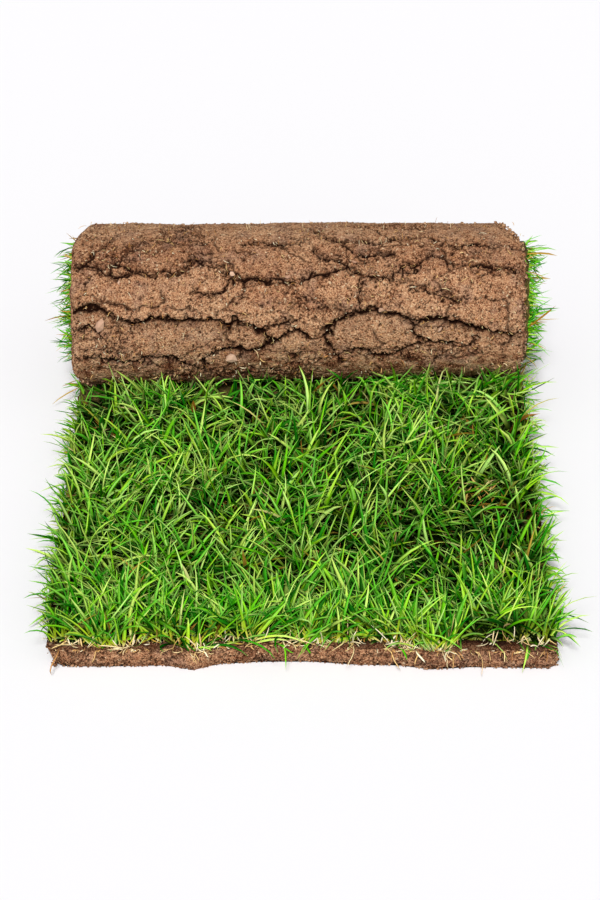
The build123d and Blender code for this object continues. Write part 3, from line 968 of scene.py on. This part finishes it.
class TurfSoilSettings(bpy.types.PropertyGroup):
    crumb_size: bpy.props.FloatProperty(
        name="Crumb size", description="Width of the crumbs on the soil's face", default=2.6 * MM, unit="LENGTH")
    clod_size: bpy.props.FloatProperty(
        name="Clod size", description="Width of the clods along the cracks", default=6.0 * MM, unit="LENGTH")
    plate_length: bpy.props.FloatProperty(
        name="Plate length", description="Length of the plates between fine cracks", default=62 * MM, unit="LENGTH")
    crack_width: bpy.props.FloatProperty(
        name="Crack width", description="How wide the cracks gape, against the photograph", default=0.95)
    crack_depth: bpy.props.FloatProperty(
        name="Crack depth", description="How deep the cracks are, against their usual depth", default=1.0)
    spacing: bpy.props.FloatProperty(
        name="Mesh spacing", description="Width of a mesh face on the roll's face", default=1.15 * MM, unit="LENGTH")


class TurfGrassSettings(bpy.types.PropertyGroup):
    tufts: bpy.props.IntProperty(name="Tufts", description="Tufts of grass on the tongue", default=1880)
    leaves: bpy.props.IntProperty(name="Leaves", description="Leaves in each tuft", default=6)
    blade_length: bpy.props.FloatProperty(
        name="Blade length", description="Usual length of a blade", default=43 * MM, unit="LENGTH")
    blade_width: bpy.props.FloatProperty(
        name="Blade width", description="Usual width of a blade", default=2.2 * MM, unit="LENGTH")
    dry_share: bpy.props.FloatProperty(
        name="Dry share", description="Share of the blades that are dead", default=0.012)


class TurfStageSettings(bpy.types.PropertyGroup):
    floor_colour: bpy.props.FloatVectorProperty(
        name="Floor colour", description="Colour of the pale floor", subtype="COLOR", size=3,
        default=linear("#F0EFF1")[:3])
    key_strength: bpy.props.FloatProperty(
        name="Key light", description="Strength of the soft lamp over the front", default=3.3)
    softbox_strength: bpy.props.FloatProperty(
        name="Softbox", description="Strength of the wide light behind the camera", default=0.75)
    sky_strength: bpy.props.FloatProperty(name="Sky", description="Strength of the even light", default=0.16)


# One operator for each piece or group of like pieces

class TURF_OT_soil(bpy.types.Operator):
    """Makes the soil: the tongue's slab, the roll's outer turn and its inner turns"""
    bl_idname = "turf.soil"
    bl_label = "Soil"

    def execute(self, context):
        settings = context.scene.turf_soil
        overlap, coarse, inner_spacing = 6 * MM, 2.4 * settings.spacing, 2.2 * MM
        columns, coarse_columns = int(STRIP_WIDTH / settings.spacing), int(STRIP_WIDTH / coarse)
        out_of_sight = math.radians(42)
        face_start = WOUND[1][4] + WOUND[1][0] * out_of_sight
        self.tongue(settings)
        self.band("soil_rear", -overlap, face_start + overlap, coarse, (coarse_columns, 7, 7, 7))
        self.band("soil_face", face_start, OUTER_TURN_END, settings.spacing, (columns, 15, 7, 15))
        self.band("soil_inner_turns", OUTER_TURN_END - overlap, STRIP_END, inner_spacing, (24, 9, 24, 9))
        return {"FINISHED"}

    def tongue(self, settings):
        """The flat slab: its section drawn out from left to right, with close rows at its front cut."""
        rows = int(STRIP_WIDTH / settings.spacing)
        bm = swept_band((0, -HALF_WIDTH, 0), (1, HALF_WIDTH, SOIL_THICKNESS), (19, 2, 39, 15), rows)
        piece = to_object(bm, "soil_tongue")
        share, x, w = read_points(piece.data).T
        close_share, close_depth = 0.4, 20 * MM
        depth = np.interp(share, [0, close_share, 1], [0, close_depth, TONGUE_LENGTH])
        s = depth * (1 + 8 * MM / TONGUE_LENGTH) - TONGUE_LENGTH
        front = share < 1e-4
        top = w > SOIL_THICKNESS - SKIN
        side = np.abs(x) > HALF_WIDTH - SKIN
        flat = np.stack([x, s, w], axis=1)
        bulge, crack, light = side_relief(flat)
        s = s + (front_edge(x) - FRONT) * np.clip(1 - depth / (60 * MM), 0, 1)
        s = s + front * (2.0 * MM * (1 - eased(w, 0, 6 * MM)) - 1.3 * bulge)
        at_front = 1 - eased(depth, 3 * MM, 30 * MM)
        radius = 7 * MM + 2.5 * MM * lumps((np.sign(x) * 50 * MM, s), 22 * MM, 51)
        x, w = worn(x, w, radius * (1 - 0.8 * at_front))
        lean = np.where(x < 0, FRONT_CORNER_LEAN * (1 - w / SOIL_THICKNESS), 0)
        x = x + np.sign(x) * side * bulge + at_front * lean * eased(np.abs(x), 0.75 * HALF_WIDTH, HALF_WIDTH)
        w = w + top * (1.3 * MM * lumps(flat, 9 * MM, 45) + bulge) * (s < -12 * MM)
        y, z = on_strip(s, w)
        write_points(piece.data, np.stack([x, y, np.maximum(z, 0)], axis=1))
        bm = bmesh.new()
        bm.from_mesh(piece.data)
        bmesh.ops.recalc_face_normals(bm, faces=bm.faces[:])
        bm.to_mesh(piece.data)
        bm.free()
        # painted shade under the grass: the soil's top is darker the further it lies behind the front cut
        grass_shade = eased(depth, 4 * MM, 16 * MM)
        give(piece.data, crack=np.where(top & ~front, 0.30 + 0.55 * grass_shade, crack),
             light=np.where(top & ~front, (0.7 - 0.4 * grass_shade) * light, light), broken=np.full(len(x), SIDE_BROKEN))
        finish_piece(piece, crumbly_loam, "soil")

    def band(self, name, start, end, spacing, cuts):
        """A stretch of the wound strip in rows of a spacing, with cuts across its outer face, sides and inner face."""
        bm = swept_band((-HALF_WIDTH, start, 0), (HALF_WIDTH, end, SOIL_THICKNESS), cuts, int((end - start) / spacing))
        piece = to_object(bm, name)
        dress_strip(piece, bpy.context.scene.turf_soil)
        finish_piece(piece, crumbly_loam, "soil")


class TURF_OT_thatch(bpy.types.Operator):
    """Makes the felt of dead stems that fills the gaps between the roll's turns"""
    bl_idname = "turf.thatch"
    bl_label = "Thatch"

    def execute(self, context):
        start, spacing = -46 * MM, 3.5 * MM
        bm = swept_band((-HALF_WIDTH, start, SOIL_THICKNESS - 1 * MM), (HALF_WIDTH, STRIP_END, PITCH - 0.3 * MM),
                        (16, 5, 16, 5), int((STRIP_END - start) / spacing))
        piece = to_object(bm, "thatch_in_roll")
        points = read_points(piece.data)
        x, s, w = points.T
        x = x + np.sign(x) * (np.abs(x) > HALF_WIDTH - 1 * MM) * (2.0 * MM * lumps(points, 5 * MM, 71) - 1.5 * MM)
        y, z = on_strip(s, w)
        write_points(piece.data, np.stack([x, y, z], axis=1))
        finish_piece(piece, matted_thatch, "grass")
        return {"FINISHED"}


class TURF_OT_crumbs(bpy.types.Operator):
    """Scatters loose crumbs and the larger stones over the soil"""
    bl_idname = "turf.crumbs"
    bl_label = "Crumbs and stones"

    def execute(self, context):
        random = np.random.default_rng(5)
        self.face_crumbs(random, context.scene.turf_soil)
        self.cut_crumbs(random)
        self.stones(random)
        return {"FINISHED"}

    def lump(self, random):
        """A rough closed pebble of unit radius, as a template."""
        bm = bmesh.new()
        bmesh.ops.create_icosphere(bm, subdivisions=1, radius=1)
        for vertex in bm.verts:
            vertex.co *= random.uniform(0.72, 1.12)
        bm.verts.index_update()
        return template_of(bm)

    def scatter(self, random, template, middles, sizes):
        """Copies of a template, each turned at random and stretched to its own three sizes."""
        turns = np.linalg.qr(random.normal(0, 1, (len(sizes), 3, 3)))[0]
        turns *= np.sign(np.linalg.det(turns))[:, None, None]
        stretched = template[0][None] * sizes[:, None, :]
        return np.stack(middles, axis=1)[:, None, :] + np.einsum("nij,nvj->nvi", turns, stretched)

    def face_crumbs(self, random, settings):
        """Loose crumbs on the roll's face, and more of them round its two edges."""
        on_face, on_edges = 2200, 900
        count = on_face + on_edges
        s = random.uniform(30 * MM, OUTER_TURN_END - 30 * MM, count)
        way = random.choice([-1, 1], count)
        edge = HALF_WIDTH - end_inset(s, way)
        radius, turned = edge_radius(s, way), random.uniform(0, QUARTER, count)
        edged = np.arange(count) >= on_face
        round_edge = edge - 1 * MM - radius * (1 - np.sin(turned))
        x = way * np.where(edged, round_edge, (edge - 4 * MM) * random.uniform(0, 1, count))
        stand, crack, light, broken = outer_relief(x, s, settings)
        y, z = on_strip(s, np.where(edged, radius * (1 - np.cos(turned)), 0.1 * MM - stand) - slow_swell(x, s))
        size = np.clip(random.lognormal(np.where(edged, 0.05, -0.15), 0.42), 0.4, 2.6) * MM
        sizes = size[:, None] * random.uniform(0.65, 1.1, (count, 3))
        template = self.lump(random)
        placed = self.scatter(random, template, (x, y, z), sizes)
        light = np.clip(light + random.normal(0.05, 0.2, count), 0, 1)
        piece = joined("soil_crumbs", template, placed, crack=0.5 * crack, light=light, broken=broken)
        finish_piece(piece, crumbly_loam, "soil")

    def cut_crumbs(self, random):
        """Loose crumbs on the front cut and on the tongue's two sides, most of them low down."""
        count = 1300
        side = random.choice([-1, 0, 1], count, p=[0.15, 0.7, 0.15])
        z = SOIL_THICKNESS * random.uniform(0.02, 0.95, count)**1.5
        x = np.where(side == 0, random.uniform(-HALF_WIDTH + 2 * MM, HALF_WIDTH, count), side * (HALF_WIDTH - 1 * MM))
        x = np.where(x < 0, np.maximum(x, FRONT_CORNER_LEAN * (1 - z / SOIL_THICKNESS) - HALF_WIDTH), x)
        y = np.where(side == 0, front_edge(x) + 1.0 * MM, random.uniform(FRONT + 20 * MM, CURL_LINE, count))
        size = np.clip(random.lognormal(-0.35, 0.42, count), 0.35, 2.2) * MM
        light = np.clip(random.normal(0.48, 0.2, count), 0, 1)
        template = self.lump(random)
        sizes = size[:, None] * random.uniform(0.65, 1.1, (count, 3))
        placed = self.scatter(random, template, (x, y, np.maximum(z, 1.3 * size)), sizes)
        piece = joined("cut_face_crumbs", template, placed, crack=0.0, light=light, broken=SIDE_BROKEN)
        finish_piece(piece, crumbly_loam, "soil")

    def stones(self, random):
        """The stones that the photograph shows in the roll's face."""
        template = self.lump(random)
        x, s = np.array([spot_on_roll(px, py) for px, py, _, _ in STONES_PX]).T
        half, tall = np.array(STONES_PX)[:, 2:].T / FOCAL_PX * CAMERA_DISTANCE / 2
        y, z = on_strip(s, -0.1 * MM - slow_swell(x, s))
        placed = self.scatter(random, template, (x, y, z), np.stack([half, tall, 0.7 * np.minimum(half, tall)], axis=1))
        piece = joined("stones", template, placed, tone=random.uniform(0.3, 0.9, len(x)))
        finish_piece(piece, dusty_field_stone, "soil").data.shade_flat()


class TURF_OT_roots(bpy.types.Operator):
    """Grows the pale stem bases along the front cut and the root hairs in the roll's cracks"""
    bl_idname = "turf.roots"
    bl_label = "Roots and stems"

    def execute(self, context):
        random = np.random.default_rng(9)
        self.front_stems(random)
        self.roll_hairs(random, context.scene.turf_soil)
        return {"FINISHED"}

    def front_stems(self, random):
        """Pale stem bases that stand on the top of the front face, and roots that hook down over it."""
        loose, clumped = 90, 16
        clumps = [spot_at_height(px, FRONT_CUT_ROW_PX, SOIL_THICKNESS).x + random.normal(0, wide * 0.45 * MM, clumped)
                  for px, wide in STEM_CLUMPS_PX]
        x = np.concatenate([random.uniform(-HALF_WIDTH, HALF_WIDTH, loose), *clumps])
        x = np.clip(x, -HALF_WIDTH + 1 * MM, HALF_WIDTH - 1 * MM)
        count = len(x)
        stands = random.uniform(0, 1, count) < np.where(np.arange(count) < loose, 0.35, 0.62)
        low = SOIL_THICKNESS - np.where(stands, 0, 3.5 * MM * random.uniform(0, 1, count)**1.5)
        back = np.where(stands, random.uniform(0.5, 1, count) * (grass_start(x) - front_edge(x)), 0.4 * MM)
        grow_fibres("front_stems", "grass",
                    roots=np.stack([x, front_edge(x) + back, low], axis=1),
                    heading=math.pi + random.normal(0, np.where(stands, 1.6, 0.9)),
                    rise=np.radians(random.normal(np.where(stands, 48, 12), 24)),
                    arch=np.radians(random.normal(np.where(stands, 15, 105), 30)),
                    sway=random.normal(0, np.where(stands, 0.8, 1.9)),
                    length=random.lognormal(0, 0.4, count) * np.where(stands, 11, 7) * MM,
                    half_width=random.lognormal(0, 0.3, count) * np.where(stands, 0.70, 0.40) * MM,
                    thickness=0.6 * MM, shut=0.6, tone=random.normal(np.where(stands, 0.88, 0.66), 0.2))

    def roll_hairs(self, random, settings):
        """Fine root hairs that hang out of the roll's face, most of them from its cracks."""
        tries = 14000
        x = random.uniform(-HALF_WIDTH + 4 * MM, HALF_WIDTH - 4 * MM, tries)
        s = random.uniform(WOUND[2][4] - 30 * MM, OUTER_TURN_END - 25 * MM, tries)
        stand, crack, _, _ = outer_relief(x, s, settings)
        keep = random.uniform(0, 1, tries) < 0.040 + 0.20 * (crack > 0.4)
        x, s, stand = x[keep], s[keep], stand[keep]
        count = len(x)
        outward = -np.minimum(stand, 1 * MM) - slow_swell(x, s)
        y, z = on_strip(s, outward)
        out_y, out_z = on_strip(s, outward - 1 * MM)
        grow_fibres("root_hairs", "soil",
                    roots=np.stack([x, y, z], axis=1),
                    heading=math.pi + random.normal(0, 1.1, count),
                    rise=np.arctan2(out_z - z, -(out_y - y)) * 0.6 + random.normal(0, 0.5, count),
                    arch=random.normal(0.7, 0.9, count),
                    sway=random.normal(0, 1.6, count),
                    length=np.minimum(random.lognormal(0, 0.5, count) * 4.2 * MM, 10 * MM),
                    half_width=random.lognormal(0, 0.3, count) * 0.30 * MM,
                    thickness=0.4 * MM, shut=0.7, tone=random.normal(0.62, 0.32, count))


class TURF_OT_grass(bpy.types.Operator):
    """Grows the long grass on the tongue, in pieces from left to right"""
    bl_idname = "turf.grass"
    bl_label = "Grass on the tongue"

    def execute(self, context):
        random = np.random.default_rng(2)
        blades = tongue_blades(random, context.scene.turf_grass)
        x = blades["roots"][:, 0]
        bounds = np.quantile(x, [0, 0.25, 0.5, 0.75, 1])
        for number, (low, high) in enumerate(zip(bounds[:-1], bounds[1:])):
            chosen = (x >= low) & (x < high)
            grow_blades(f"grass_tongue_{number + 1}", closed_rod(3, 6), **{
                name: values[chosen] for name, values in blades.items()})
        self.litter(random)
        self.hanging(random)
        self.dead_leaf()
        return {"FINISHED"}

    def litter(self, random):
        """Dead blades that lie low between the living ones."""
        roots, _ = tufted_roots(random, 6000, 1, FRONT_QUARTER[1].x - 40 * MM)
        bare = patch_strength(roots, DRY_PATCHES_PX, 30 * MM)
        kept = random.uniform(0, 1, len(roots)) < 0.27 + 0.73 * bare
        roots, bare = roots[kept], bare[kept]
        count = len(roots)
        roots[:, 2] = SOIL_THICKNESS + 14 * MM * random.uniform(0, 1, count)**2 + 8 * MM * bare
        grow_blades("dead_blades", closed_rod(3, 3), roots=roots, dry=1.0, bared=bare,
                    heading=random.uniform(0, FULL_TURN, count),
                    rise=np.radians(random.normal(12, 16, count)),
                    arch=np.radians(random.normal(20, 20, count)),
                    sway=random.normal(0, 0.8, count),
                    length=random.lognormal(0, 0.35, count) * 15 * MM,
                    half_width=random.lognormal(0, 0.3, count) * 0.75 * MM,
                    fold=-random.uniform(0, 0.5, count),
                    twist=random.normal(0, 1.2, count),
                    tone=random.uniform(0, 1, count))

    def hanging(self, random):
        """The few green blades that hang down over the front cut."""
        across, drop = np.array(HANGING_BLADES_PX).T
        count = len(across)
        x = np.array([spot_at_height(px, FRONT_CUT_ROW_PX, SOIL_THICKNESS).x for px in across])
        grow_blades("hanging_blades", closed_rod(3, 4),
                    roots=np.stack([x, front_edge(x) + 2 * MM, np.full(count, SOIL_THICKNESS + 1 * MM)], axis=1),
                    heading=math.pi + random.normal(0, 0.5, count),
                    rise=np.radians(random.uniform(5, 30, count)),
                    arch=np.radians(random.uniform(100, 125, count)),
                    sway=random.normal(0, 0.3, count),
                    length=drop * 1.15 * MM,
                    half_width=random.uniform(0.8, 1.15, count) * MM,
                    fold=-random.uniform(0.2, 0.5, count),
                    twist=random.normal(0, 0.5, count),
                    tone=random.uniform(0.22, 0.55, count))

    def dead_leaf(self):
        """The broad dead leaf that stands on edge close to the roll."""
        spot = spot_at_height(*DEAD_LEAF_PX, 44 * MM)
        grow_blades("dead_leaf", closed_rod(3, 6), roots=np.array([[spot.x, spot.y, 36 * MM]]), tone=0.0, dry=1.0,
                    bared=1.0, heading=2.8, rise=1.35, arch=0.25, sway=0.4, length=19 * MM, half_width=2.3 * MM,
                    thickness=0.4 * MM, fold=-0.7, twist=0.5)


class TURF_OT_end_grass(bpy.types.Operator):
    """Grows the grass that sticks out of the roll's two ends, from between its turns"""
    bl_idname = "turf.end_grass"
    bl_label = "Grass at the roll's ends"

    def execute(self, context):
        random = np.random.default_rng(4)
        tries = 1500
        for name, way in (("grass_left_end", -1), ("grass_right_end", 1)):
            s = random.uniform(-30 * MM, STRIP_END - 12 * MM, tries)
            s = s[random.uniform(-1, 1, tries) < 1.5 * lumps((s, 0 * s + way), 16 * MM, 91) + 0.25]
            count = len(s)
            w = SOIL_THICKNESS + random.uniform(0.5 * MM, PRESSED_SWARD - 1 * MM, count)
            y, z = on_strip(s, w)
            down_y, down_z = on_strip(s, w - 1 * MM)
            grow_blades(name, closed_rod(3, 4), clearance=None,
                        roots=np.stack([way * (HALF_WIDTH - random.uniform(2, 14, count) * MM), y, z], axis=1),
                        heading=way * (QUARTER - 0.25 * (y - down_y) / MM) + random.normal(0, 0.45, count),
                        rise=random.normal(0, 0.38, count) + 0.25 * (z - down_z) / MM,
                        arch=random.normal(0.35, 0.45, count),
                        sway=random.normal(0, 0.5, count),
                        length=np.clip(random.lognormal(0, 0.4, count) * 17 * MM, 8 * MM, 34 * MM),
                        half_width=random.lognormal(0, 0.25, count) * 0.8 * MM,
                        fold=-random.uniform(0.2, 0.6, count),
                        twist=random.normal(0, 1.0, count),
                        tone=np.clip(random.normal(0.42, 0.22, count), 0, 1),
                        dry=(random.uniform(0, 1, count) < 0.12) * 0.9,
                        bared=0.9 * (random.uniform(0, 1, count) < 0.35))
        return {"FINISHED"}


class TURF_OT_stage(bpy.types.Operator):
    """Lays the pale floor, sets the soft studio light and places the camera"""
    bl_idname = "turf.stage"
    bl_label = "Stage"

    def execute(self, context):
        bm = bmesh.new()
        bmesh.ops.create_grid(bm, x_segments=1, y_segments=1, size=12)
        floor = to_object(bm, "floor")
        floor.data.materials.append(material(pale_matt_floor))
        context.scene.world = painted(bpy.data.worlds.new("studio_sky"), "ShaderNodeOutputWorld", studio_sky)
        lamp = bpy.data.lights.new("key_lamp", "SUN")
        lamp.angle = math.radians(12)
        lamp.energy = context.scene.turf_stage.key_strength
        lamp_place = Vector((-0.1, -1.35, 1.5))
        self.hold("key_lamp", lamp, lamp_place, -lamp_place)
        lens = bpy.data.cameras.new("camera")
        lens.sensor_width, lens.lens = SENSOR, LENS
        lens.clip_start, lens.clip_end = 0.05, 100
        context.scene.camera = self.hold("camera", lens, CAMERA_PLACE, LOOK)
        context.scene.view_settings.view_transform = "Standard"
        return {"FINISHED"}

    def hold(self, name, data, place, way):
        """Puts a lamp or a camera at a place and turns it to look a way."""
        held = bpy.data.objects.new(name, data)
        held.location = place
        held.rotation_mode = "QUATERNION"
        held.rotation_quaternion = way.to_track_quat("-Z", "Y")
        bpy.context.scene.collection.objects.link(held)
        return held


class VIEW3D_PT_turf(bpy.types.Panel):
    """Lists the turf's sizes and its pieces"""
    bl_label = "Rolled turf"
    bl_space_type = "VIEW_3D"
    bl_region_type = "UI"
    bl_category = "Turf"

    def draw(self, context):
        for group in (context.scene.turf_soil, context.scene.turf_grass, context.scene.turf_stage):
            box = self.layout.box()
            for name in group.__annotations__:
                box.prop(group, name)
        for operator in OPERATORS:
            self.layout.operator(operator.bl_idname)


SETTINGS = {"turf_soil": TurfSoilSettings, "turf_grass": TurfGrassSettings, "turf_stage": TurfStageSettings}
OPERATORS = (
    TURF_OT_stage,
    TURF_OT_soil,
    TURF_OT_thatch,
    TURF_OT_crumbs,
    TURF_OT_roots,
    TURF_OT_grass,
    TURF_OT_end_grass,
)


def register():
    for cls in (*SETTINGS.values(), *OPERATORS, VIEW3D_PT_turf):
        bpy.utils.register_class(cls)
    for name, cls in SETTINGS.items():
        setattr(bpy.types.Scene, name, bpy.props.PointerProperty(type=cls))


def unregister():
    for name in SETTINGS:
        delattr(bpy.types.Scene, name)
    for cls in reversed((*SETTINGS.values(), *OPERATORS, VIEW3D_PT_turf)):
        bpy.utils.unregister_class(cls)


def main():
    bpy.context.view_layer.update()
    register()
    for operator in OPERATORS:
        group, name = operator.bl_idname.split(".")
        getattr(getattr(bpy.ops, group), name)()


if __name__ == "__main__":
    main()
